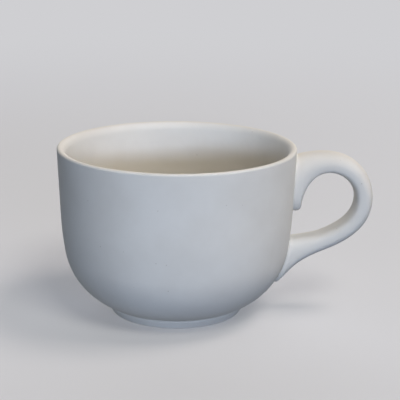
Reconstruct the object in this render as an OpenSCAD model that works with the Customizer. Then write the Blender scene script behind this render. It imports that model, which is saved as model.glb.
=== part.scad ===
// Cappuccino cup of unglazed white ceramic, in millimetres.
// The origin is the centre of the foot on the table, +Z is up and the handle points along +X.

/* [Bowl] */
// Height of the cup, from the table to the top of the lip
cup_height = 80.9; // [74:0.1:95]
// Outer diameter at the lip
rim_d = 114; // [104:1:130]
// Thickness of the wall
wall_t = 4.1; // [3:0.1:6]
// Rounding of the lip's outer edge
lip_r = 1.2; // [0.6:0.1:1.5]
// Depth over which the inside of the wall thins out to the lip
lip_depth = 4.2; // [2:0.1:8]
// Lean of the straight upper wall from the upright, in degrees
wall_lean = 2.4; // [0:0.1:5]
// Radius of the long curve under the straight wall
flank_r = 160; // [120:1:200]
// Lean of the wall where the long curve ends, in degrees
flank_lean = 9; // [7:0.5:13]
// Outer radius of the round belly
belly_r = 33.8; // [30:0.2:36]
// Inner radius of the round belly
hollow_r = 30; // [24:0.5:31]
// Thickness of the floor
floor_t = 4.6; // [3:0.1:7]

/* [Foot] */
// Clearance between the table and the bowl, inside the foot ring
recess_h = 1.9; // [1.5:0.1:4]
// Outer diameter of the foot ring on the table
foot_d = 63; // [58:0.2:68]
// Width of the foot ring on the table
foot_w = 3.8; // [3:0.1:6]
// Height at which the foot ring's outer face meets the bowl
foot_h = 4.8; // [4:0.1:6]
// Least width of the foot ring where it meets the bowl
foot_top_w = 5.8; // [4:0.1:8]
// Rounding of the edges that the foot stands on
foot_edge_r = 0.5; // [0.2:0.1:1]

/* [Handle] */
// How far the handle stands out from the side of the lip
handle_reach = 37.2; // [30:0.1:46]
// Thickness of the handle at its outermost point
grip_t = 8.7; // [7:0.1:12]
// Width of the handle along the grip
grip_w = 14.5; // [10:0.5:20]
// Squareness of the handle's section on its outer side and towards the finger gap, 2 for an oval
section_square = [2.2, 3]; // [2:0.1:4]
// Drop from the lip to the top of the upper root, on the wall
root_drop = 4.2; // [3:0.1:8]
// Height of the upper root, along the wall
upper_root_h = 27; // [22:0.2:32]
// Width of the upper root
upper_root_w = 19; // [14:0.5:26]
// Thickness of the upper root's blunt lower edge
upper_edge_t = 3.9; // [2:0.1:5]
// Rounding of the upper root's lower edge, towards the finger gap
tip_edge_r = 2.6; // [0.6:0.1:3]
// Drop from the top of the upper root to the outermost point of the handle
reach_drop = 21.2; // [17:0.1:25]
// Height of the top of the lower root, on the wall
lower_root_z = 36.2; // [33:0.1:40]
// Height of the lower end of the tail, on the wall
tail_z = 14.7; // [12:0.1:18]
// Width of the lower root
lower_root_w = 16; // [12:0.5:24]
// Thickness of the tail's blunt end
tail_edge_t = 2.4; // [1.5:0.1:4]
// Rounding of the tail's blunt end and of the upper root's top
root_edge_r = 1.4; // [0.4:0.1:1.6]

/* [Handle curves] */
// Rise of the top edge as it leaves the wall, in degrees
top_rise = 13; // [8:1:24]
// Lean of the finger gap's edge above the upper root, in degrees from level
gap_rise = 85; // [70:1:88]
// How far from the side of the lip the lower arm is set
arm_out = 12.7; // [8:0.1:15]
// Height of the arm's upper edge above the lower root
arm_lift = 2.5; // [1:0.1:6]
// Thickness of the lower arm, measured upright
arm_t = 9.7; // [8:0.1:15]
// Slope of the lower arm, in degrees
arm_slope = 23; // [15:1:30]
// Slope of the tail's lower edge at its end, in degrees
tail_slope = 40; // [25:1:50]
// Slope of the arm's upper edge where it meets the lower root, in degrees
crook_slope = 10; // [0:1:25]
// Roundness of the handle's outer curve: at the top, above, below and beside its outermost point
outer_pull = [26.2, 11.2, 17.3, 7.1]; // [2:0.1:30]
// Roundness of the finger gap's curve: at the root, above, below and beside its outermost point
inner_pull = [25.2, 14.2, 10, 5.5]; // [2:0.1:30]
// Roundness of the tail's lower edge: leaving the arm and arriving at the wall
tail_pull = [16, 7.4]; // [2:0.1:18]
// Roundness of the crook over the lower root: leaving the arm and arriving at the wall
crook_pull = [2.9, 3.7]; // [2:0.1:8]

/* [Joints] */
// Thickness of the joining slip between two pieces
lute_t = 0.6; // [0.4:0.1:1]
// Clearance on each side of the joining slip
seam = 0.05; // [0.03:0.01:0.1]

/* [Hidden] */

bisque = "#dcd9d2";
slip = "#d3cec4";

turn_fn = 96;
belly_steps = 26;
flank_steps = 6;
lip_steps = 8;
edge_steps = 4;
arm_steps = 13;
round_steps = 4;
ring_sides = 28;
cap_steps = 5;

rim_r = rim_d / 2;
foot_r = foot_d / 2;
foot_in_r = foot_r - foot_w;
floor_z = recess_h + floor_t;
lip_c = [rim_r - lip_r, cup_height - lip_r];

// The outer profile is a straight wall, a long flank arc and a belly arc, each tangent to the next.
belly_z = recess_h + belly_r;
flank_z = belly_z - belly_r * sin(flank_lean);
shoulder_z = flank_z + flank_r * (sin(flank_lean) - sin(wall_lean));
shoulder_r = lip_c.x + lip_r / cos(wall_lean) - (lip_c.y - shoulder_z) * tan(wall_lean);
flank_c = [shoulder_r - flank_r * cos(wall_lean), shoulder_z + flank_r * sin(wall_lean)];
belly_c = [flank_c.x + (flank_r - belly_r) * cos(flank_lean), belly_z];

// The hollow's belly arc is tangent to the inner flank and to the flat floor.
hollow_span = flank_r - wall_t - hollow_r;
hollow_lean = asin((flank_c.y - floor_z - hollow_r) / hollow_span);
hollow_c = [flank_c.x + hollow_span * cos(hollow_lean), floor_z + hollow_r];

function heading(a) = [cos(a), sin(a)];

function arc(c, r, from, to, steps, first = 0) =
    [for (k = [first:steps]) c + r * heading(from + (to - from) * k / steps)];

// The lip is round outside its crest. Inside it, a quarter of an oval falls to the wall's inner face.
lip_fall = [
    for (k = [1:lip_steps])
        let (a = 90 * k / lip_steps)
        let (rise = lip_r - lip_depth * (1 - cos(a)), in = (wall_t - lip_r) * sin(a))
        lip_c + rise * heading(90 - wall_lean) - in * heading(-wall_lean)
];

bowl_profile = concat(
    [[0, recess_h]],
    arc(belly_c, belly_r, -90, -flank_lean, belly_steps),
    arc(flank_c, flank_r, -flank_lean, -wall_lean, flank_steps, 1),
    arc(lip_c, lip_r, -wall_lean, 90 - wall_lean, lip_steps),
    lip_fall,
    arc(flank_c, flank_r - wall_t, -wall_lean, -hollow_lean, flank_steps),
    arc(hollow_c, hollow_r, -hollow_lean, -90, belly_steps, 1),
    [[0, floor_z]]
);

// Radius of the bowl's outer surface at a height
function wall_r(z) =
    z > shoulder_z ? shoulder_r + (z - shoulder_z) * tan(wall_lean)
    : z > flank_z ? flank_c.x + sqrt(flank_r * flank_r - pow(z - flank_c.y, 2))
    : belly_c.x + sqrt(belly_r * belly_r - pow(z - belly_c.y, 2));

// Lean of the bowl's outer surface at a height
function lean_at(z) =
    z > shoulder_z ? wall_lean
    : z > flank_z ? asin((flank_c.y - z) / flank_r)
    : asin((belly_c.y - z) / belly_r);

// Point of the upright plane that stands a distance off the wall, square to it
function off_wall(z, d) = [wall_r(z), z] + d * heading(-lean_at(z));

// Height on the wall of a point of that plane, and its distance off the wall
function on_wall(p) =
    let (belly = p - belly_c, flank = p - flank_c, lip = p - lip_c)
    let (belly_a = atan2(-belly.y, belly.x), flank_a = atan2(-flank.y, flank.x))
    let (d = lip * heading(-wall_lean) - lip_r)
    belly_a > flank_lean ? [belly_c.y - belly_r * sin(belly_a), norm(belly) - belly_r]
    : flank_a > wall_lean ? [flank_c.y - flank_r * sin(flank_a), norm(flank) - flank_r]
    : [p.y + d * sin(wall_lean), d];

// The foot ring's faces run from the table to the bowl, whose underside cuts the ring off.
// The inner face is upright, or leans in to keep the ring's width at the bowl.
foot_top_r = wall_r(foot_h);
foot_neck_r = min(foot_in_r, foot_top_r - foot_top_w);
foot_face_a = atan2(foot_h, foot_top_r - foot_r);
foot_back_a = atan2(foot_h, foot_neck_r - foot_in_r);
foot_band = concat(
    arc([foot_in_r + foot_edge_r / tan(foot_back_a / 2), foot_edge_r], foot_edge_r,
        foot_back_a + 90, 270, edge_steps),
    arc([foot_r - foot_edge_r * tan(foot_face_a / 2), foot_edge_r], foot_edge_r,
        -90, foot_face_a - 90, edge_steps),
    [[foot_top_r, foot_h], [foot_neck_r, foot_h]]
);

// The handle is a row of rounded rings between an outer and an inner line of the upright plane.
// Each knot of a line is a point, a heading, and the pulls before and after it.
root_top_z = cup_height - root_drop;
root_tip_z = root_top_z - upper_root_h;
reach_z = root_top_z - reach_drop;
reach_x = rim_r + handle_reach;
arm_x = rim_r + arm_out;
arm_z = lower_root_z + arm_lift;
upper_edge_r = min(tip_edge_r, 0.8 * (upper_edge_t - lute_t));
tail_edge_r = min(root_edge_r, 0.8 * (tail_edge_t - lute_t));
top_out = 2 * root_edge_r;
crook_out = max(1.5 * lute_t, tail_edge_r);

outer_knots = [
    [off_wall(root_top_z, 0) + top_out * heading(top_rise), top_rise, 0, outer_pull[0]],
    [[reach_x, reach_z], -90, outer_pull[1], outer_pull[2]],
    [[arm_x, arm_z - arm_t], 180 + arm_slope, outer_pull[3], tail_pull[0]],
    [off_wall(tail_z, tail_edge_t), 180 + tail_slope, tail_pull[1], 0]
];
inner_knots = [
    [off_wall(root_tip_z + upper_edge_r, upper_edge_t), gap_rise, 0, inner_pull[0]],
    [[reach_x - grip_t, reach_z], -90, inner_pull[1], inner_pull[2]],
    [[arm_x, arm_z], 180 + arm_slope, inner_pull[3], crook_pull[0]],
    [off_wall(lower_root_z, crook_out), 180 + crook_slope, crook_pull[1], 0]
];

function between(a, b, t) = a + (b - a) * t;

function bend(a, b, t) =
    let (u = 1 - t, leave = a[0] + a[3] * heading(a[1]), arrive = b[0] - b[2] * heading(b[1]))
    u * u * u * a[0] + 3 * u * u * t * leave + 3 * u * t * t * arrive + t * t * t * b[0];

// Points round the section, from 1 on its outer side to -1 at the finger gap, and from -1 to 1 across
function squared(v, n) = sign(v) * pow(abs(v), 2 / n);
section = [
    for (k = [0:ring_sides - 1])
        let (a = 360 * k / ring_sides, n = section_square[cos(a) > 0 ? 0 : 1])
        [squared(cos(a), n), squared(sin(a), n)]
];

// Ring on the bowl, given the height on the wall and the distance off it at both ends
function wall_ring(outer, inner, w, size = 1) = [
    for (s = size * section)
        let (c = between(inner, outer, (1 + s.x) / 2), p = off_wall(c[0], c[1]), y = s.y * w / 2)
        [sqrt(p.x * p.x - y * y), y, p.y]
];

// Flat ring between two points of the upright plane
function flat_ring(outer, inner, w) = [
    for (s = section)
        let (p = between(inner, outer, (1 + s.x) / 2))
        [p.x, s.y * w / 2, p.y]
];

// Ring that goes over from flat to the bowl's curve as hug goes from 0 to 1
function ring(outer, inner, w, hug) =
    hug <= 0 ? flat_ring(outer, inner, w)
    : let (flat = flat_ring(outer, inner, w), bent = wall_ring(on_wall(outer), on_wall(inner), w))
    [for (k = [0:ring_sides - 1]) between(flat[k], bent[k], hug)];

// Rings of one stretch of the handle, between two pairs of knots.
// The flare and the hug at each ring go from 0 on the grip to 1 at the root.
function arm_rings(n, root_w, flare, hug, first = 1) = [
    for (k = [first:arm_steps])
        let (t = k / arm_steps)
        ring(bend(outer_knots[n], outer_knots[n + 1], t), bend(inner_knots[n], inner_knots[n + 1], t),
            between(grip_w, root_w, flare[k]), hug[k])
];

// Outline of a root on the wall, at a distance off it
function upper_root(d, size = 1) = wall_ring([root_top_z, d], [root_tip_z, d], upper_root_w, size);
function lower_root(d, size = 1) = wall_ring([tail_z, d], [lower_root_z, d], lower_root_w, size);

upper_flare = [for (k = [0:arm_steps]) pow(1 - k / arm_steps, 8)];
upper_hug = [for (k = [0:arm_steps]) pow(1 - k / arm_steps, 3)];
lower_flare = [for (k = [0:arm_steps]) pow(k / arm_steps, 4)];
lower_hug = [for (k = [0:arm_steps]) pow(k / arm_steps, 2)];
even = [for (k = [0:arm_steps]) 0];

cap_sizes = [for (k = [1:cap_steps - 1]) k / cap_steps];
cap_sizes_back = [for (k = [cap_steps - 1:-1:1]) k / cap_steps];

// The roots' blunt edges are rounded over from the wall to the first and last ring of the arms.
upper_edge = [
    for (k = [0:round_steps - 1])
        let (a = 90 * k / round_steps)
        let (share = (k + 1) / (round_steps + 1))
        let (out = on_wall(between(off_wall(root_top_z, lute_t), outer_knots[0][0], share)))
        let (d = upper_edge_t - upper_edge_r * (1 - sin(a)), z = root_tip_z + upper_edge_r * (1 - cos(a)))
        wall_ring(out, [z, d], upper_root_w)
];
tail_edge = [
    for (k = [1:round_steps])
        let (a = 90 * k / round_steps)
        let (d = tail_edge_t - tail_edge_r * (1 - cos(a)), z = tail_z - tail_edge_r * sin(a) / 2)
        let (crook = between(crook_out, lute_t, k / (round_steps + 1)))
        wall_ring([z, d], [lower_root_z, crook], lower_root_w)
];

handle_rings = concat(
    [for (s = cap_sizes) upper_root(lute_t, s)],
    [upper_root(lute_t)],
    upper_edge,
    arm_rings(0, upper_root_w, upper_flare, upper_hug, 0),
    arm_rings(1, grip_w, even, even),
    arm_rings(2, lower_root_w, lower_flare, lower_hug),
    tail_edge,
    [lower_root(lute_t)],
    [for (s = cap_sizes_back) lower_root(lute_t, s)]
);

// Closed skin over a row of rings, from a start point to an end point
module skin(start, rings, finish) {
    n = ring_sides;
    last = len(rings) - 1;
    points = concat([start], [for (r = rings) each r], [finish]);
    end = len(points) - 1;
    faces = concat(
        [for (k = [0:n - 1]) [0, 1 + (k + 1) % n, 1 + k]],
        [for (r = [0:last - 1], k = [0:n - 1])
            let (a = 1 + r * n + k, b = 1 + r * n + (k + 1) % n)
            each [[a, b, b + n], [a, b + n, a + n]]],
        [for (k = [0:n - 1]) [end, 1 + last * n + k, 1 + last * n + (k + 1) % n]]
    );
    polyhedron(points, faces);
}

module bowl() {
    color(bisque)
    rotate_extrude($fn = turn_fn)
    polygon(bowl_profile);
}

// Profile of the bowl's underside, grown by a distance: the round belly and the flat bottom
module underside(d) {
    translate(belly_c) circle(belly_r + d, $fn = 4 * turn_fn);
    translate([0, recess_h - d]) square([belly_c.x, belly_r]);
}

module foot_ring() {
    color(bisque)
    rotate_extrude($fn = turn_fn)
    difference() {
        polygon(foot_band);
        underside(lute_t);
    }
}

module foot_lute() {
    color(slip)
    rotate_extrude($fn = turn_fn)
    difference() {
        intersection() {
            polygon(foot_band);
            underside(lute_t - seam);
        }
        underside(seam);
    }
}

module handle() {
    color(bisque)
    skin(upper_root(lute_t, 0)[0], handle_rings, lower_root(lute_t, 0)[0]);
}

// Each pad of joining slip has the outline of a root, and fills the gap between it and the wall.
module upper_lute() {
    rings = concat(
        [for (s = cap_sizes) upper_root(seam, s)],
        [upper_root(seam), upper_root(lute_t - seam)],
        [for (s = cap_sizes_back) upper_root(lute_t - seam, s)]
    );
    color(slip)
    skin(upper_root(seam, 0)[0], rings, upper_root(lute_t - seam, 0)[0]);
}

module lower_lute() {
    rings = concat(
        [for (s = cap_sizes) lower_root(lute_t - seam, s)],
        [lower_root(lute_t - seam), lower_root(seam)],
        [for (s = cap_sizes_back) lower_root(seam, s)]
    );
    color(slip)
    skin(lower_root(lute_t - seam, 0)[0], rings, lower_root(seam, 0)[0]);
}

bowl();
foot_ring();
foot_lute();
handle();
upper_lute();
lower_lute();
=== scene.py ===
# Cappuccino cup in fired, unglazed earthenware: its pieces, their finish, the camera and the studio light
import math

import bmesh
import bpy
from mathutils import Matrix, Vector


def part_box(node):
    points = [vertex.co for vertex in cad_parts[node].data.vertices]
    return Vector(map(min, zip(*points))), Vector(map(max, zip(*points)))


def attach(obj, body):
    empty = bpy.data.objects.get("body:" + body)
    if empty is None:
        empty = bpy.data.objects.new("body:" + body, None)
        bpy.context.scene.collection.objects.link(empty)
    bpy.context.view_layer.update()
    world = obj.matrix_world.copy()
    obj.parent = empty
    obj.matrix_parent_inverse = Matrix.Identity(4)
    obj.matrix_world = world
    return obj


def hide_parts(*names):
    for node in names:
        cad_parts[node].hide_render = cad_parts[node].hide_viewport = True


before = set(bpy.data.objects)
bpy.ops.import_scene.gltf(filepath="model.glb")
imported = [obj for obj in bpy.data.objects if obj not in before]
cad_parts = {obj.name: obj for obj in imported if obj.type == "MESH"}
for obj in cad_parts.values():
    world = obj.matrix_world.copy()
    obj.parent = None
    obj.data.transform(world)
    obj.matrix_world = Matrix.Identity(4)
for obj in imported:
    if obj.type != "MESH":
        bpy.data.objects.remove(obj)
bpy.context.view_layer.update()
mm = 0.001
scene = bpy.context.scene
scene.view_settings.view_transform = "Standard"
print("frame loaded:", ", ".join(sorted(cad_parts)))


# sRGB hex colour as linear red, green, blue and alpha
def linear(hexColour):
    channels = [int(hexColour[i:i + 2], 16) / 255 for i in (1, 3, 5)]
    return [c / 12.92 if c <= 0.04045 else ((c + 0.055) / 1.055) ** 2.4 for c in channels] + [1.0]


# One node with its settings, socket values and incoming links
def addNode(tree, kind, values=None, links=None, **settings):
    node = tree.nodes.new(kind)
    for name, value in settings.items():
        setattr(node, name, value)
    for socket, value in (values or {}).items():
        node.inputs[socket].default_value = value
    for socket, source in (links or {}).items():
        tree.links.new(source, node.inputs[socket])
    return node


# White earthenware, cast, sponged and fired once without a glaze: chalky, dead matt and a warm white
bisqueLook = {
    "body": "#DCD9D2",
    "cloud": "#D3CFC7",  # soft clouds where the sponge dragged
    "cloudSize": 26,  # sizes in mm
    "cloudFrom": 0.35,  # noise at which a cloud sets in, and at which it is full
    "cloudTo": 0.72,
    "cloudMost": 0.8,
    "speck": "#A1978A",  # a few grains of iron
    "speckSpacing": 8,
    "speckSize": 0.25,
    "markHigh": 0.02,  # faint level tool marks, in patches
    "markSize": 0.9,
    "markLength": 30,
    "patchSize": 38,
    "patchFrom": 0.42,
    "patchTo": 0.62,
    "patchLeast": 0.15,
    "grainSize": 0.9,  # real grain is about 0.1 mm, drawn coarser so that it shows
    "grainHigh": 0.012,
    "roughLow": 0.82,
    "roughHigh": 0.95,
    "ior": 1.5,
    "shine": 0.2,
}

# The joining slip is the same clay watered down, so it fires a little denser and darker.
slipLook = dict(bisqueLook, body="#D8D5CD", cloud="#CDC9C0", cloudSize=7, markHigh=0.008)


def clayMaterial(name, look):
    material = bpy.data.materials.new(name)
    material.use_nodes = True
    tree = material.node_tree
    tree.nodes.clear()
    place = addNode(tree, "ShaderNodeTexCoord").outputs["Object"]

    # cloudy tone
    cloud = addNode(
        tree, "ShaderNodeTexNoise",
        {"Scale": 1 / (look["cloudSize"] * mm), "Detail": 4, "Roughness": 0.55},
        {"Vector": place})
    cloudShare = addNode(
        tree, "ShaderNodeMapRange",
        {"From Min": look["cloudFrom"], "From Max": look["cloudTo"], "To Max": look["cloudMost"]},
        {"Value": cloud.outputs["Fac"]})
    tone = addNode(
        tree, "ShaderNodeMixRGB",
        {"Color1": linear(look["body"]), "Color2": linear(look["cloud"])},
        {"Fac": cloudShare.outputs["Result"]})

    # grains of iron, which show where the surface cuts them
    cell = addNode(
        tree, "ShaderNodeTexVoronoi",
        {"Scale": 1 / (look["speckSpacing"] * mm)},
        {"Vector": place})
    reach = look["speckSize"] / look["speckSpacing"]
    grit = addNode(
        tree, "ShaderNodeMapRange",
        {"From Min": reach, "From Max": reach / 2},
        {"Value": cell.outputs["Distance"]})
    speckled = addNode(
        tree, "ShaderNodeMixRGB",
        {"Color2": linear(look["speck"])},
        {"Fac": grit.outputs["Result"], "Color1": tone.outputs["Color"]})

    # level marks of the fettling tool, stronger in some patches
    acrossMark, alongMark = 1 / (look["markSize"] * mm), 1 / (look["markLength"] * mm)
    stretched = addNode(
        tree, "ShaderNodeMapping",
        {"Scale": (alongMark, alongMark, acrossMark)},
        {"Vector": place})
    marks = addNode(
        tree, "ShaderNodeTexNoise",
        {"Scale": 1, "Detail": 2},
        {"Vector": stretched.outputs["Vector"]})
    patch = addNode(
        tree, "ShaderNodeTexNoise",
        {"Scale": 1 / (look["patchSize"] * mm), "Detail": 1},
        {"Vector": place})
    patchShare = addNode(
        tree, "ShaderNodeMapRange",
        {"From Min": look["patchFrom"], "From Max": look["patchTo"], "To Min": look["patchLeast"]},
        {"Value": patch.outputs["Fac"]})
    markHeight = addNode(
        tree, "ShaderNodeMath",
        links={0: marks.outputs["Fac"], 1: patchShare.outputs["Result"]},
        operation="MULTIPLY")
    markBump = addNode(
        tree, "ShaderNodeBump",
        {"Distance": look["markHigh"] * mm},
        {"Height": markHeight.outputs["Value"]})

    # fine grain over the marks, in the surface and in its roughness
    grain = addNode(
        tree, "ShaderNodeTexNoise",
        {"Scale": 1 / (look["grainSize"] * mm), "Detail": 3},
        {"Vector": place})
    grainBump = addNode(
        tree, "ShaderNodeBump",
        {"Distance": look["grainHigh"] * mm},
        {"Height": grain.outputs["Fac"], "Normal": markBump.outputs["Normal"]})
    rough = addNode(
        tree, "ShaderNodeMapRange",
        {"To Min": look["roughLow"], "To Max": look["roughHigh"]},
        {"Value": grain.outputs["Fac"]})

    clay = addNode(
        tree, "ShaderNodeBsdfPrincipled",
        {"IOR": look["ior"], "Specular IOR Level": look["shine"]},
        {"Base Color": speckled.outputs["Color"], "Roughness": rough.outputs["Result"],
         "Normal": grainBump.outputs["Normal"]})
    addNode(tree, "ShaderNodeOutputMaterial", links={"Surface": clay.outputs["BSDF"]})
    return material


bisque = clayMaterial("spongedBisque", bisqueLook)
slip = clayMaterial("joiningSlip", slipLook)
print("materials made:", bisque.name, slip.name)


# Bowl, turned from one profile: its heights and rim come from the frame, the rest is in mm and degrees
bowlLow, bowlHigh = (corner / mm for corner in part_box("bowl"))
bowl = {
    "rimRadius": -bowlLow.x,
    "height": bowlHigh.z,
    "recess": bowlLow.z,  # clearance under the bowl
    "wall": 4.1,
    "lipRound": 1.2,  # outer edge of the lip
    "lipDepth": 4.2,  # how far down the inside curves in to the lip
    "wallLean": 2.4,
    "flankRadius": 160,
    "flankLean": 9,
    "bellyRadius": 33.8,
    "hollowRadius": 30,
    "floor": 4.6,
    "wobble": 0.08,  # how far the hand leaves the surface from true
    "wobbleSize": 34,
    "seed": 3.0,
    "segments": 224,
    "flatSteps": 8,  # steps along the stretches of the profile
    "bellySteps": 48,
    "wallSteps": 12,
    "lipSteps": 14,
    "fallSteps": 24,
    "hollowSteps": 44,
}


# Unit vector at an angle in degrees
def heading(angle):
    return Vector((math.cos(math.radians(angle)), math.sin(math.radians(angle))))


def arc(centre, radius, start, end, steps):
    return [centre + radius * heading(start + (end - start) * k / steps) for k in range(steps + 1)]


def line(start, end, steps):
    return [start.lerp(end, k / steps) for k in range(steps + 1)]


# Outside: a round lip, a straight wall, a flank that curves slowly and a round belly
lipRadius = bowl["lipRound"]
lipCentre = Vector((bowl["rimRadius"] - lipRadius, bowl["height"] - lipRadius))
sinWall, cosWall = math.sin(math.radians(bowl["wallLean"])), math.cos(math.radians(bowl["wallLean"]))
sinFlank = math.sin(math.radians(bowl["flankLean"]))
bellyZ = bowl["recess"] + bowl["bellyRadius"]
flankZ = bellyZ - bowl["bellyRadius"] * sinFlank
shoulderZ = flankZ + bowl["flankRadius"] * (sinFlank - sinWall)
shoulderR = lipCentre.x + lipRadius / cosWall - (lipCentre.y - shoulderZ) * sinWall / cosWall
flankCentre = Vector((shoulderR - bowl["flankRadius"] * cosWall, shoulderZ + bowl["flankRadius"] * sinWall))
bellyCentre = flankCentre + (bowl["flankRadius"] - bowl["bellyRadius"]) * heading(-bowl["flankLean"])

# Inside: the wall's thickness further in, down to a rounder hollow and a flat floor
floorZ = bowl["recess"] + bowl["floor"]
innerFlank = bowl["flankRadius"] - bowl["wall"]
hollowSpan = innerFlank - bowl["hollowRadius"]
hollowLean = math.degrees(math.asin((flankCentre.y - floorZ - bowl["hollowRadius"]) / hollowSpan))
hollowCentre = flankCentre + hollowSpan * heading(-hollowLean)
print("bowl profile: flat bottom %.1f mm, hollow floor %.1f mm" % (bellyCentre.x * 2, hollowCentre.x * 2))


# Tree that turns a profile round the Z axis, lets it wander a little from true and dresses it
def wheelTree():
    tree = bpy.data.node_groups.new("turnOnWheel", "GeometryNodeTree")
    sockets = {}
    for name, kind in (("Profile", "NodeSocketGeometry"), ("Segments", "NodeSocketInt"),
                       ("Rail", "NodeSocketFloat"), ("Wobble", "NodeSocketFloat"),
                       ("Wobble Size", "NodeSocketFloat"), ("Seed", "NodeSocketFloat"),
                       ("Material", "NodeSocketMaterial")):
        sockets[name] = tree.interface.new_socket(name, in_out="INPUT", socket_type=kind).identifier
    tree.interface.new_socket("Piece", in_out="OUTPUT", socket_type="NodeSocketGeometry")
    given = addNode(tree, "NodeGroupInput").outputs

    # the profile, carried round a circle and closed
    profile = addNode(tree, "GeometryNodeMeshToCurve", links={"Mesh": given["Profile"]})
    rail = addNode(
        tree, "GeometryNodeCurvePrimitiveCircle",
        links={"Resolution": given["Segments"], "Radius": given["Rail"]})
    skin = addNode(
        tree, "GeometryNodeCurveToMesh",
        links={"Curve": rail.outputs["Curve"], "Profile Curve": profile.outputs["Curve"]})
    outside = addNode(tree, "GeometryNodeFlipFaces", links={"Mesh": skin.outputs["Mesh"]})
    closed = addNode(
        tree, "GeometryNodeMergeByDistance",
        {"Distance": 1e-6},
        {"Geometry": outside.outputs["Mesh"]})

    # the hand's wobble, which only takes clay away
    pitch = addNode(
        tree, "ShaderNodeMath",
        {0: 1.0},
        {1: given["Wobble Size"]},
        operation="DIVIDE")
    ripple = addNode(
        tree, "ShaderNodeTexNoise",
        {"Detail": 1},
        {"W": given["Seed"], "Scale": pitch.outputs["Value"]},
        noise_dimensions="4D")
    depth = addNode(
        tree, "ShaderNodeMath",
        links={0: ripple.outputs["Fac"], 1: given["Wobble"]},
        operation="MULTIPLY")
    inward = addNode(
        tree, "ShaderNodeMath",
        {1: -1.0},
        {0: depth.outputs["Value"]},
        operation="MULTIPLY")
    normal = addNode(tree, "GeometryNodeInputNormal")
    shift = addNode(
        tree, "ShaderNodeVectorMath",
        links={0: normal.outputs["Normal"], "Scale": inward.outputs["Value"]},
        operation="SCALE")
    moved = addNode(
        tree, "GeometryNodeSetPosition",
        links={"Geometry": closed.outputs["Geometry"], "Offset": shift.outputs["Vector"]})

    smooth = addNode(tree, "GeometryNodeSetShadeSmooth", links={"Geometry": moved.outputs["Geometry"]})
    real = addNode(tree, "GeometryNodeRealizeInstances", links={"Geometry": smooth.outputs["Geometry"]})
    dressed = addNode(
        tree, "GeometryNodeSetMaterial",
        links={"Geometry": real.outputs["Geometry"], "Material": given["Material"]})
    addNode(tree, "NodeGroupOutput", links={"Piece": dressed.outputs["Geometry"]})
    return tree, sockets


wheel, wheelInputs = wheelTree()


def newPiece(name, points, edges, faces):
    mesh = bpy.data.meshes.new(name)
    mesh.from_pydata(points, edges, faces)
    piece = bpy.data.objects.new(name, mesh)
    scene.collection.objects.link(piece)
    return piece


sharpAngle = 50  # degrees between two faces from which their edge stays sharp


# Plain mesh from what the piece's modifiers make, with every face outwards
def settle(piece, material):
    graph = bpy.context.evaluated_depsgraph_get()
    mesh = bpy.data.meshes.new_from_object(piece.evaluated_get(graph))
    piece.modifiers.clear()
    piece.data = mesh
    shell = bmesh.new()
    shell.from_mesh(mesh)
    bmesh.ops.recalc_face_normals(shell, faces=shell.faces)
    for face in shell.faces:
        face.smooth = True
    for edge in shell.edges:
        edge.smooth = edge.calc_face_angle(0) < math.radians(sharpAngle)
    shell.to_mesh(mesh)
    shell.free()
    mesh.materials.clear()
    mesh.materials.append(material)
    print(piece.name, "has", len(mesh.polygons), "faces")


def dress(piece, node):
    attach(piece, "root")
    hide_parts(node)


def turned(name, profile, closedLoop, material, sizes):
    rail = bowl["rimRadius"] * mm  # the profile is drawn from the circle that carries it, hanging down
    points = [(p.x * mm - rail, -p.y * mm, 0) for p in profile]
    count = len(points)
    edges = [(k, (k + 1) % count) for k in range(count if closedLoop else count - 1)]
    piece = newPiece(name, points, edges, [])
    turn = piece.modifiers.new("turn", "NODES")
    turn.node_group = wheel
    settings = {"Segments": sizes["segments"], "Rail": rail, "Wobble": sizes["wobble"] * mm,
                "Wobble Size": sizes["wobbleSize"] * mm, "Seed": sizes["seed"], "Material": material}
    for socket, value in settings.items():
        turn[wheelInputs[socket]] = value
    settle(piece, material)
    return piece


# Inside its crest the lip falls to the wall's inner face in a quarter of an oval.
def lipFall(steps):
    crest, inward = heading(90 - bowl["wallLean"]), -heading(-bowl["wallLean"])
    points = []
    for k in range(1, steps + 1):
        turn = math.pi / 2 * k / steps
        rise = lipRadius - bowl["lipDepth"] * (1 - math.cos(turn))
        points.append(lipCentre + rise * crest + (bowl["wall"] - lipRadius) * math.sin(turn) * inward)
    return points


shoulder = Vector((shoulderR, shoulderZ))
outerLip = lipCentre + lipRadius * heading(-bowl["wallLean"])
innerLip = lipFall(bowl["fallSteps"])
innerShoulder = flankCentre + innerFlank * heading(-bowl["wallLean"])
bowlProfile = (
    line(Vector((0, bowl["recess"])), Vector((bellyCentre.x, bowl["recess"])), bowl["flatSteps"])
    + arc(bellyCentre, bowl["bellyRadius"], -90, -bowl["flankLean"], bowl["bellySteps"])[1:]
    + arc(flankCentre, bowl["flankRadius"], -bowl["flankLean"], -bowl["wallLean"], bowl["wallSteps"])[1:]
    + line(shoulder, outerLip, bowl["wallSteps"])[1:]
    + arc(lipCentre, lipRadius, -bowl["wallLean"], 90 - bowl["wallLean"], bowl["lipSteps"])[1:]
    + innerLip
    + line(innerLip[-1], innerShoulder, bowl["wallSteps"])[1:]
    + arc(flankCentre, innerFlank, -bowl["wallLean"], -hollowLean, bowl["wallSteps"])[1:]
    + arc(hollowCentre, bowl["hollowRadius"], -hollowLean, -90, bowl["hollowSteps"])[1:]
    + line(Vector((hollowCentre.x, floorZ)), Vector((0, floorZ)), bowl["flatSteps"])[1:]
)
bowlBody = turned("bowlBody", bowlProfile, False, bisque, bowl)
dress(bowlBody, "bowl")


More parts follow.
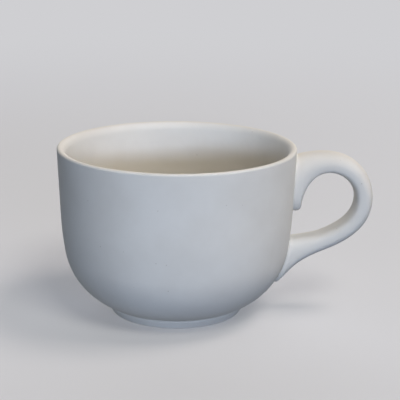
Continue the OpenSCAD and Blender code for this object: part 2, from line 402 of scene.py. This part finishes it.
# Foot ring, with a fillet of slip in each crease under the bowl
foot = {
    "diameter": 63,  # on the table
    "width": 3.8,
    "height": 4.8,  # where the outer face meets the bowl
    "edge": 0.5,  # rounding of the standing edges
    "joint": 0.6,  # thickness of the slip
    "fillet": 0.12,
    "bowlSink": 0.15,  # how far the slip soaks into the bowl and into the ring
    "ringSink": 0.3,
    "wobble": 0.04,
    "wobbleSize": 22,
    "seed": 5.0,
    "segments": 192,
    "edgeSteps": 6,
    "standSteps": 3,
    "faceSteps": 6,
    "topSteps": 8,
}
filletSteps = 8


def wallRadius(z):
    if z > shoulderZ:
        return shoulderR + (z - shoulderZ) * sinWall / cosWall
    if z > flankZ:
        return flankCentre.x + math.sqrt(bowl["flankRadius"] ** 2 - (z - flankCentre.y) ** 2)
    return bellyCentre.x + math.sqrt(bowl["bellyRadius"] ** 2 - (z - bellyCentre.y) ** 2)


# Angle on the belly's circle, grown by a distance, at a radius from the cup's axis
def bellyAngle(radius, grown):
    return -math.degrees(math.acos((radius - bellyCentre.x) / (bowl["bellyRadius"] + grown)))


def bellyPoint(angle):
    return bellyCentre + bowl["bellyRadius"] * heading(angle)


# Hollow curve from one face to another, tangent to both, with the crease as its middle control point
def filletCurve(start, crease, end):
    shares = [k / filletSteps for k in range(filletSteps + 1)]
    return [start.lerp(crease, share).lerp(crease.lerp(end, share), share) for share in shares]


footRadius = foot["diameter"] / 2
footInside = footRadius - foot["width"]
footCrease = Vector((wallRadius(foot["height"]), foot["height"]))
footFace = (footCrease - Vector((footRadius, 0))).normalized()
faceAngle = math.degrees(math.atan2(footFace.y, footFace.x))
outerAngle = bellyAngle(footCrease.x, 0)
innerAngle = bellyAngle(footInside, 0)
footTop = footCrease - footFace * (foot["joint"] / -heading(outerAngle).dot(footFace))
topRadius = bowl["bellyRadius"] + foot["joint"]
edgeReach = foot["edge"] * math.tan(math.radians(faceAngle / 2))
standInside, standOutside = footInside + foot["edge"], footRadius - edgeReach
ringProfile = (
    arc(Vector((standInside, foot["edge"])), foot["edge"], 180, 270, foot["edgeSteps"])
    + line(Vector((standInside, 0)), Vector((standOutside, 0)), foot["standSteps"])[1:-1]
    + arc(Vector((standOutside, foot["edge"])), foot["edge"], -90, faceAngle - 90, foot["edgeSteps"])
    + line(Vector((footRadius, 0)) + footFace * edgeReach, footTop, foot["faceSteps"])[1:]
    + arc(bellyCentre, topRadius, bellyAngle(footTop.x, foot["joint"]),
          bellyAngle(footInside, foot["joint"]), foot["topSteps"])[1:]
)
footRing = turned("footRing", ringProfile, True, bisque, foot)
dress(footRing, "foot_ring")

innerCrease = bellyPoint(innerAngle)
filletAngle = math.degrees(foot["fillet"] / bowl["bellyRadius"])
slipReach = foot["fillet"] + foot["joint"]  # how far the slip comes down the ring's faces
slipRingProfile = (
    filletCurve(footCrease - footFace * slipReach, footCrease, bellyPoint(outerAngle + filletAngle))
    + arc(bellyCentre, bowl["bellyRadius"] - foot["bowlSink"], outerAngle, innerAngle, foot["topSteps"])
    + filletCurve(bellyPoint(innerAngle - filletAngle), innerCrease, innerCrease - Vector((0, slipReach)))
    + arc(bellyCentre, topRadius + foot["ringSink"], innerAngle, outerAngle, foot["topSteps"])[1:-1]
)
footSlip = turned("footSlip", slipRingProfile, True, slip, dict(foot, wobble=0))
dress(footSlip, "foot_lute")


# Handle, a row of rounded rings between an outer and an inner line, which hug the wall at its two roots
handle = {
    "reach": (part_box("handle")[1] / mm).x,
    "gripThick": 8.7,
    "gripWide": 14.5,
    "outerSquare": 2.2,  # section, 2 for an oval
    "innerSquare": 3,
    "rootTop": bowl["height"] - 4.2,
    "rootTip": bowl["height"] - 31.2,
    "upperWide": 19,
    "upperEdge": 3.9,  # blunt lower edge of the upper root
    "upperFlare": 8,  # powers by which the arm widens and hugs the wall towards a root
    "upperHug": 3,
    "tipRound": 2.6,
    "reachZ": bowl["height"] - 25.4,
    "crookZ": 36.2,
    "tailZ": 14.7,
    "lowerWide": 16,
    "lowerFlare": 4,
    "lowerHug": 2,
    "tailEdge": 2.4,
    "edgeRound": 1.4,
    "topRise": 13,  # degrees
    "gapRise": 85,
    "armX": bowl["rimRadius"] + 12.7,
    "armZ": 38.7,
    "armThick": 9.7,
    "armSlope": 23,
    "tailSlope": 40,
    "crookSlope": 10,
    "outerPull": (26.2, 11.2, 17.3, 7.1),  # pulls along the two lines, from the upper root on
    "innerPull": (25.2, 14.2, 10, 5.5),
    "tailPull": (16, 7.4),
    "crookPull": (2.9, 3.7),
    "joint": 0.6,
    "fillet": 0.3,
    "sink": 0.12,
    "sides": 64,
    "armSteps": 40,
    "edgeSteps": 8,
}
capSizes = (0.25, 0.5, 0.75)  # rings that close a root's face


def wallLean(z):
    if z > shoulderZ:
        return bowl["wallLean"]
    if z > flankZ:
        return math.degrees(math.asin((flankCentre.y - z) / bowl["flankRadius"]))
    return math.degrees(math.asin((bellyCentre.y - z) / bowl["bellyRadius"]))


# Point of the upright plane at a distance off the wall, and back: height on the wall and distance off it
def offWall(z, distance):
    return Vector((wallRadius(z), z)) + distance * heading(-wallLean(z))


def onWall(point):
    for centre, radius, lean in ((bellyCentre, bowl["bellyRadius"], bowl["flankLean"]),
                                 (flankCentre, bowl["flankRadius"], bowl["wallLean"])):
        spoke = point - centre
        if math.degrees(math.atan2(-spoke.y, spoke.x)) > lean:
            return Vector((centre.y + radius * spoke.normalized().y, spoke.length - radius))
    distance = (point - lipCentre).dot(heading(-bowl["wallLean"])) - lipRadius
    return Vector((point.y + distance * sinWall, distance))


# Points round the section, from 1 on its outer side to -1 at the finger gap, and from -1 to 1 across
def sectionRing():
    ring = []
    for k in range(handle["sides"]):
        turn = 2 * math.pi * k / handle["sides"]
        power = 2 / (handle["outerSquare"] if math.cos(turn) > 0 else handle["innerSquare"])
        ring.append([math.copysign(abs(part) ** power, part) for part in (math.cos(turn), math.sin(turn))])
    return ring


section = sectionRing()


# Ring on the bowl between two places on its wall, grown outwards if asked
def wallRing(outer, inner, wide, size=1, grow=0):
    ring = []
    for along, across in section:
        place = inner.lerp(outer, (1 + size * along) / 2)
        rise = grow * along * (1 if outer.x > inner.x else -1)
        point = offWall(place.x + rise, place.y)
        y = (size * wide / 2 + grow) * across
        ring.append(Vector((math.sqrt(point.x ** 2 - y ** 2), y, point.y)))
    return ring


def armRing(outer, inner, wide, hug):
    ring = []
    for along, across in section:
        point = inner.lerp(outer, (1 + along) / 2)
        ring.append(Vector((point.x, wide / 2 * across, point.y)))
    if hug > 0:
        ring = [a.lerp(b, hug) for a, b in zip(ring, wallRing(onWall(outer), onWall(inner), wide))]
    return ring


def between(a, b, share):
    return a + (b - a) * share


# Cubic curve between two knots, each a point, a heading and the pulls before and after it
def bend(a, b, t):
    leave, arrive = a[0] + a[3] * heading(a[1]), b[0] - b[2] * heading(b[1])
    u = 1 - t
    return u ** 3 * a[0] + 3 * u * u * t * leave + 3 * u * t * t * arrive + t ** 3 * b[0]


topOut = 2 * handle["edgeRound"]  # from the wall to where the outer line sets out
outerKnots = [
    (offWall(handle["rootTop"], 0) + topOut * heading(handle["topRise"]), handle["topRise"],
     0, handle["outerPull"][0]),
    (Vector((handle["reach"], handle["reachZ"])), -90, handle["outerPull"][1], handle["outerPull"][2]),
    (Vector((handle["armX"], handle["armZ"] - handle["armThick"])), 180 + handle["armSlope"],
     handle["outerPull"][3], handle["tailPull"][0]),
    (offWall(handle["tailZ"], handle["tailEdge"]), 180 + handle["tailSlope"], handle["tailPull"][1], 0),
]
innerKnots = [
    (offWall(handle["rootTip"] + handle["tipRound"], handle["upperEdge"]), handle["gapRise"],
     0, handle["innerPull"][0]),
    (Vector((handle["reach"] - handle["gripThick"], handle["reachZ"])), -90,
     handle["innerPull"][1], handle["innerPull"][2]),
    (Vector((handle["armX"], handle["armZ"])), 180 + handle["armSlope"],
     handle["innerPull"][3], handle["crookPull"][0]),
    (offWall(handle["crookZ"], handle["edgeRound"]), 180 + handle["crookSlope"], handle["crookPull"][1], 0),
]


# Rings of one stretch, which widen and hug the wall as nearRoot goes to 1
def armRings(knot, rootWide, nearRoot, flare=1, hug=1, first=1):
    rings = []
    for k in range(first, handle["armSteps"] + 1):
        t = k / handle["armSteps"]
        outer = bend(outerKnots[knot], outerKnots[knot + 1], t)
        inner = bend(innerKnots[knot], innerKnots[knot + 1], t)
        wide = between(handle["gripWide"], rootWide, nearRoot(t) ** flare)
        rings.append(armRing(outer, inner, wide, nearRoot(t) ** hug))
    return rings


def upperRoot(distance, size=1, grow=0):
    return wallRing(Vector((handle["rootTop"], distance)), Vector((handle["rootTip"], distance)),
                    handle["upperWide"], size, grow)


def lowerRoot(distance, size=1, grow=0):
    return wallRing(Vector((handle["tailZ"], distance)), Vector((handle["crookZ"], distance)),
                    handle["lowerWide"], size, grow)


def handleRings():
    steps, rounding, joint = handle["edgeSteps"], handle["edgeRound"], handle["joint"]
    rings = [upperRoot(joint, size) for size in capSizes + (1,)]
    for k in range(steps):  # blunt edge of the upper root
        turn = math.radians(90 * k / steps)
        outer = onWall(offWall(handle["rootTop"], joint).lerp(outerKnots[0][0], (k + 1) / (steps + 1)))
        inner = Vector((handle["rootTip"] + handle["tipRound"] * (1 - math.cos(turn)),
                        handle["upperEdge"] - handle["tipRound"] * (1 - math.sin(turn))))
        rings.append(wallRing(outer, inner, handle["upperWide"]))
    rings += armRings(0, handle["upperWide"], lambda t: 1 - t,
                      handle["upperFlare"], handle["upperHug"], first=0)
    rings += armRings(1, handle["gripWide"], lambda t: 0)
    rings += armRings(2, handle["lowerWide"], lambda t: t, handle["lowerFlare"], handle["lowerHug"])
    for k in range(1, steps + 1):  # blunt end of the tail
        turn = math.radians(90 * k / steps)
        outer = Vector((handle["tailZ"] - rounding * math.sin(turn) / 2,
                        handle["tailEdge"] - rounding * (1 - math.cos(turn))))
        inner = Vector((handle["crookZ"], between(rounding, joint, k / (steps + 1))))
        rings.append(wallRing(outer, inner, handle["lowerWide"]))
    return rings + [lowerRoot(joint, size) for size in (1,) + capSizes[::-1]]


# Closed mesh over a row of rings, from a start point to an end point
def loft(name, start, rings, end, material):
    sides = len(rings[0])
    points = [point * mm for point in [start] + [p for ring in rings for p in ring] + [end]]
    faces = []
    for k in range(sides):
        following = (k + 1) % sides
        faces.append((0, 1 + following, 1 + k))
        for row in range(len(rings) - 1):
            near, far = 1 + row * sides, 1 + (row + 1) * sides
            faces.append((near + k, near + following, far + following, far + k))
        last = 1 + (len(rings) - 1) * sides
        faces.append((len(points) - 1, last + k, last + following))
    piece = newPiece(name, points, [], faces)
    settle(piece, material)
    return piece


loopHandle = loft("loopHandle", upperRoot(handle["joint"], 0)[0], handleRings(),
                  lowerRoot(handle["joint"], 0)[0], bisque)
dress(loopHandle, "handle")


# Pad of slip under a root, with a hollow fillet all round it
def slipPad(name, root, node):
    fillet, sink = handle["fillet"], handle["sink"]
    wallSide, rootSide = -sink, handle["joint"] + sink
    rim = filletCurve(Vector((fillet, 0)), Vector((0, 0)), Vector((0, fillet)))
    rings = [root(wallSide, size) for size in capSizes] + [root(wallSide, 1, fillet)]
    rings += [root(place.y, 1, place.x) for place in rim]
    rings += [root(handle["joint"], 1), root(rootSide, 1, -sink)]
    rings += [root(rootSide, size) for size in capSizes[::-1]]
    pad = loft(name, root(wallSide, 0)[0], rings, root(rootSide, 0)[0], slip)
    dress(pad, node)


slipPad("upperSlip", upperRoot, "upper_lute")
slipPad("lowerSlip", lowerRoot, "lower_lute")
print("cup built")


# Pale paper sweep, which takes the shadow and goes over into the background away from the cup
sweepLook = {
    "paper": "#B9BBC0",  # a cool grey, because the lamps above are warm
    "glow": "#F3F2F1",
    "glowLevel": 0.2,
    "background": "#CFCFD2",
    "near": 0.3,  # where the background sets in and where it is all there is, in metres from the cup
    "far": 1.0,
    "size": 6.0,
}


# 1 for the rays that show the set as it looks, 0 for the light that falls on the cup
def seenRays(tree):
    ray = addNode(tree, "ShaderNodeLightPath").outputs
    direct = addNode(
        tree, "ShaderNodeMath",
        links={0: ray["Is Camera Ray"], 1: ray["Is Glossy Ray"]},
        operation="MAXIMUM")
    seen = addNode(
        tree, "ShaderNodeMath",
        links={0: direct.outputs["Value"], 1: ray["Is Transmission Ray"]},
        operation="MAXIMUM")
    return seen.outputs["Value"]


def addSweep():
    material = bpy.data.materials.new("paperSweep")
    material.use_nodes = True
    tree = material.node_tree
    tree.nodes.clear()
    paper = addNode(tree, "ShaderNodeBsdfDiffuse", {"Color": linear(sweepLook["paper"])})
    glow = addNode(
        tree, "ShaderNodeEmission",
        {"Color": linear(sweepLook["glow"]), "Strength": sweepLook["glowLevel"]})
    pale = addNode(
        tree, "ShaderNodeAddShader",
        links={0: paper.outputs["BSDF"], 1: glow.outputs["Emission"]})
    place = addNode(tree, "ShaderNodeTexCoord").outputs["Object"]
    distance = addNode(tree, "ShaderNodeVectorMath", links={0: place}, operation="LENGTH")
    away = addNode(
        tree, "ShaderNodeMapRange",
        {"From Min": sweepLook["near"], "From Max": sweepLook["far"]},
        {"Value": distance.outputs["Value"]},
        interpolation_type="SMOOTHSTEP")
    background = addNode(tree, "ShaderNodeEmission", {"Color": linear(sweepLook["background"])})
    faded = addNode(
        tree, "ShaderNodeMixShader",
        links={"Fac": away.outputs["Result"], 1: pale.outputs["Shader"], 2: background.outputs["Emission"]})

    # clear to the light and from below, so that the underside is lit and shows
    clear = addNode(tree, "ShaderNodeBsdfTransparent")
    front = addNode(
        tree, "ShaderNodeMixShader",
        links={"Fac": seenRays(tree), 1: clear.outputs["BSDF"], 2: faded.outputs["Shader"]})
    side = addNode(tree, "ShaderNodeNewGeometry").outputs
    sheet = addNode(
        tree, "ShaderNodeMixShader",
        links={"Fac": side["Backfacing"], 1: front.outputs["Shader"], 2: clear.outputs["BSDF"]})
    addNode(tree, "ShaderNodeOutputMaterial", links={"Surface": sheet.outputs["Shader"]})

    half = sweepLook["size"] / 2
    corners = [(-half, -half, 0), (half, -half, 0), (half, half, 0), (-half, half, 0)]
    floor = newPiece("paperSweep", corners, [], [(0, 1, 2, 3)])
    floor.data.materials.append(material)


# Camera, from the photograph's own perspective
camera = {
    "distance": 600,  # mm from the bowl's middle
    "middleZ": 40,
    "elevation": 16.7,
    "tiltUp": 1.28,
    "pan": 1.11,
    "roll": 0.58,
    "focalPixels": 1239,
    "imagePixels": 400,
}


def addCamera():
    data = bpy.data.cameras.new("studioCamera")
    data.lens = camera["focalPixels"] / camera["imagePixels"] * data.sensor_width
    eye = bpy.data.objects.new("studioCamera", data)
    scene.collection.objects.link(eye)
    rise, pan = math.radians(camera["elevation"]), math.radians(camera["pan"])
    down = math.radians(camera["elevation"] - camera["tiltUp"])
    sight = Vector((math.sin(pan) * math.cos(down), math.cos(pan) * math.cos(down), -math.sin(down)))
    right = sight.cross(Vector((0, 0, 1))).normalized()
    up = right.cross(sight)
    level = Matrix((right, up, -sight)).transposed().to_4x4()
    turn = level @ Matrix.Rotation(math.radians(camera["roll"]), 4, "Z")
    middle = Vector((0, 0, camera["middleZ"]))
    place = Vector((0, -math.cos(rise), math.sin(rise))) * camera["distance"] + middle
    eye.matrix_world = Matrix.Translation(place * mm) @ turn
    scene.camera = eye


# Soft boxes aimed at the cup, with angles in degrees as the cup sees them
lights = {
    "frontWindow": {"azimuth": 13, "elevation": 9.8, "wide": 48, "high": 5,
                    "colour": "#D0E1FF", "level": 0.67},  # share of light on a surface that faces it
    "leftWindow": {"azimuth": -52, "elevation": 6.5, "wide": 26, "high": 5,
                   "colour": "#D2E6FF", "level": 0.13},
    "topKey": {"azimuth": 28, "elevation": 51, "wide": 22, "high": 20,
               "colour": "#FFF9ED", "level": 0.39},
    "warmSide": {"azimuth": 92, "elevation": 62, "wide": 20, "high": 20,
                 "colour": "#FFF1E4", "level": 0.39},
    "backWindow": {"azimuth": 180, "elevation": 14, "wide": 64, "high": 16,
                   "colour": "#F3F6FF", "level": 0.78},
    "underFill": {"azimuth": 180, "elevation": -48, "wide": 60, "high": 40,
                  "colour": "#F3F6FF", "level": 0.16},
}
lampDistance = 3.0  # metres
world = {"colour": "#FFFFFF", "strength": 0.04}


def addLights():
    aim = Vector((0, 0, camera["middleZ"] * mm))
    for name, light in lights.items():
        data = bpy.data.lights.new(name, "AREA")
        data.shape = "RECTANGLE"
        data.size = 2 * lampDistance * math.tan(math.radians(light["wide"] / 2))
        data.size_y = 2 * lampDistance * math.tan(math.radians(light["high"] / 2))
        data.energy = light["level"] * (math.pi * lampDistance) ** 2
        data.color = linear(light["colour"])[:3]
        lamp = bpy.data.objects.new(name, data)
        scene.collection.objects.link(lamp)
        lamp.visible_camera = False
        around, rise = math.radians(light["azimuth"]), math.radians(light["elevation"])
        out = math.cos(rise)
        away = Vector((math.sin(around) * out, -math.cos(around) * out, math.sin(rise)))
        facing = away.to_track_quat("Z", "Y").to_matrix().to_4x4()
        lamp.matrix_world = Matrix.Translation(aim + away * lampDistance) @ facing


# Weak even light on the cup, and the background where the set is seen
def addWorld():
    sky = bpy.data.worlds.new("studio")
    sky.use_nodes = True
    tree = sky.node_tree
    tree.nodes.clear()
    even = addNode(
        tree, "ShaderNodeBackground",
        {"Color": linear(world["colour"]), "Strength": world["strength"]})
    background = addNode(tree, "ShaderNodeBackground", {"Color": linear(sweepLook["background"])})
    both = addNode(
        tree, "ShaderNodeMixShader",
        links={"Fac": seenRays(tree), 1: even.outputs["Background"], 2: background.outputs["Background"]})
    addNode(tree, "ShaderNodeOutputWorld", links={"Surface": both.outputs["Shader"]})
    scene.world = sky


addSweep()
addCamera()
addLights()
addWorld()
print("studio set: %d lamps" % len(lights))
